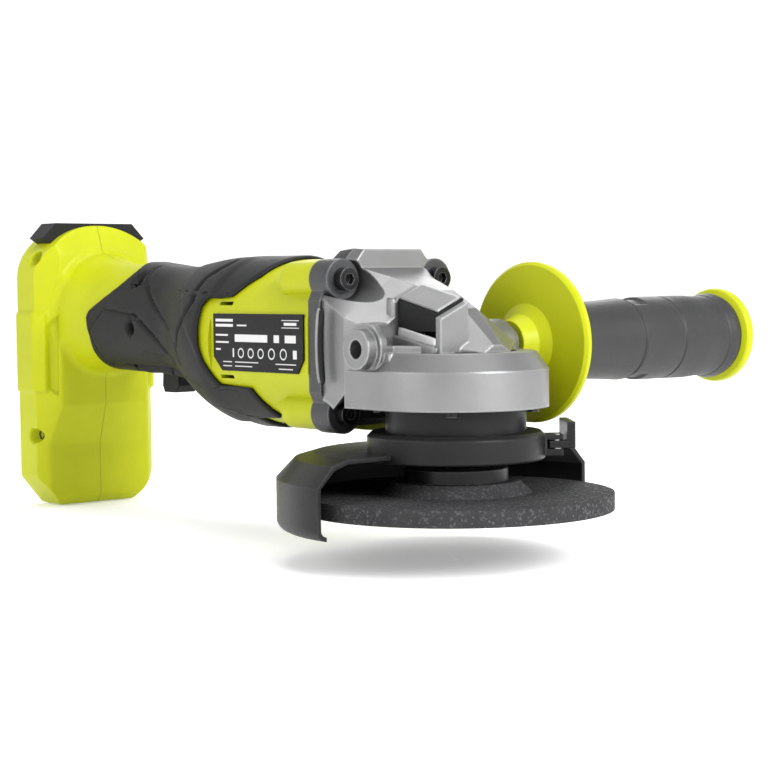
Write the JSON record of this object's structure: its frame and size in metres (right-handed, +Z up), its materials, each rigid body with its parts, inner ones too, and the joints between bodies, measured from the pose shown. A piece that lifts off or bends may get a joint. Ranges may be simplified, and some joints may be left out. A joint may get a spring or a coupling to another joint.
{
  "type": "angle grinder",
  "caption": "Cordless angle grinder with a round abrasive disc under a swivelling rear guard, a paddle switch under the grip, a side handle and an empty battery foot.",
  "frame": {"origin": "on the spindle axis at the working face of the grinding disc, in the face of the lock nut", "axes": "+Z up the spindle axis into the gear head, +X along the motor axis towards the front of the gear head, +Y towards the side handle"},
  "size_m": [0.3255, 0.2273, 0.13],
  "materials": {
    "lime_plastic": "satin moulded, lime green",
    "soft_black": "matte fine-grained overmould",
    "black_plastic": "fine-grained moulded",
    "cast_alloy": "bead-blasted casting",
    "grey_alloy": "dark grey painted casting",
    "black_steel": "black oxide and paint",
    "bright_steel": "turned steel",
    "black_screws": "black oxide",
    "abrasive": "resin-bonded abrasive grain",
    "copper": "enamelled copper",
    "brass": "plated contact",
    "magnet": "sintered",
    "board": "circuit board",
    "plate_film": "printed film with plain marks",
    "carbon": "pressed carbon"
  },
  "bodies": {
    "tool": {"foot_right": "lime_plastic", "foot_left": "lime_plastic", "housing_right": "lime_plastic", "housing_left": "lime_plastic", "grip_overmould_right": "soft_black", "grip_overmould_left": "soft_black", "foot_bumper": "soft_black", "rating_plate": "plate_film", "housing_screws": "black_screws", "terminal_block": "black_plastic", "battery_terminals": "brass", "control_board": "board", "switch_module": "black_plastic", "paddle_pin": "bright_steel", "motor_can": "bright_steel", "stator_magnets": "magnet", "brush_holder": "black_plastic", "carbon_brushes": "carbon", "brush_springs": "bright_steel", "front_motor_bearing": "bright_steel", "rear_motor_bearing": "bright_steel", "gearbox_adapter": "grey_alloy", "gearbox_screws": "black_screws", "gear_case": "cast_alloy", "lower_spindle_bearing": "bright_steel", "upper_spindle_bearing": "bright_steel", "bearing_retainer": "black_steel", "retainer_screws": "bright_steel", "dust_seal": "soft_black", "lock_button_spring": "bright_steel"},
    "spindle_set": {"spindle": "bright_steel", "ring_gear": "bright_steel", "inner_flange": "black_steel", "grinding_disc": "abrasive", "lock_nut": "black_steel"},
    "rotor": {"rotor_shaft": "bright_steel", "armature_core": "magnet", "armature_windings": "copper", "commutator": "copper", "cooling_fan": "black_plastic", "drive_pinion": "bright_steel"},
    "paddle": {"paddle_lever": "black_plastic", "lock_off_pin": "bright_steel"},
    "plunger": {"switch_plunger": "black_plastic"},
    "lock_off": {"lock_off_lever": "black_plastic"},
    "lock_button": {"spindle_lock_button": "black_plastic"},
    "guard": {"guard_shell": "black_steel", "guard_collar": "black_steel", "guard_clamp_pin": "bright_steel"},
    "guard_lever": {"guard_clamp_lever": "black_steel"},
    "side_handle": {"side_handle_stud": "bright_steel", "side_handle_core": "lime_plastic", "side_handle_grip": "soft_black", "side_handle_end_cap": "lime_plastic"}
  },
  "joints": [
    {"name": "spindle_spin", "type": "hinge", "parent": "tool", "child": "spindle_set", "pos_m": [0, 0, 0], "axis": [0, 0, 1], "continuous": true},
    {"name": "rotor_spin", "type": "hinge", "parent": "tool", "child": "rotor", "pos_m": [0, 0, 0.059], "axis": [1, 0, 0], "continuous": true},
    {"name": "paddle_press", "type": "hinge", "parent": "tool", "child": "paddle", "pos_m": [-0.118, 0, 0.031], "axis": [0, 1, 0], "range_deg": [0, 6], "stiffness_Nm_per_rad": 2, "springref_deg": -8.59},
    {"name": "plunger_travel", "type": "slide", "parent": "tool", "child": "plunger", "axis": [0, 0, 1], "range_m": [0, 0.0055]},
    {"name": "lock_off_swing", "type": "hinge", "parent": "paddle", "child": "lock_off", "pos_m": [-0.1795, 0, 0.0455], "axis": [0, 1, 0], "range_deg": [0, 20], "stiffness_Nm_per_rad": 0.05, "springref_deg": -11.46},
    {"name": "spindle_lock_press", "type": "slide", "parent": "tool", "child": "lock_button", "axis": [0, 0, -1], "range_m": [0, 0.004], "stiffness_N_per_m": 1500, "springref_m": -0.003, "deforming": ["lock_button_spring"]},
    {"name": "guard_turn", "type": "hinge", "parent": "tool", "child": "guard", "pos_m": [0, 0, 0], "axis": [0, 0, 1], "range_deg": [-90, 60]},
    {"name": "guard_clamp_swing", "type": "hinge", "parent": "guard", "child": "guard_lever", "pos_m": [0.02525, 0.02647, 0.0233], "axis": [0, 0, -1], "range_deg": [0, 100]},
    {"name": "side_handle_unscrew", "type": "slide", "parent": "tool", "child": "side_handle", "axis": [0, 1, 0], "range_m": [0, 0.0125]}
  ],
  "couplings": [
    {"joint": "rotor_spin", "follows": "spindle_spin", "ratio": -3.1667},
    {"joint": "plunger_travel", "follows": "paddle_press", "m_per_rad": 0.047}
  ]
}
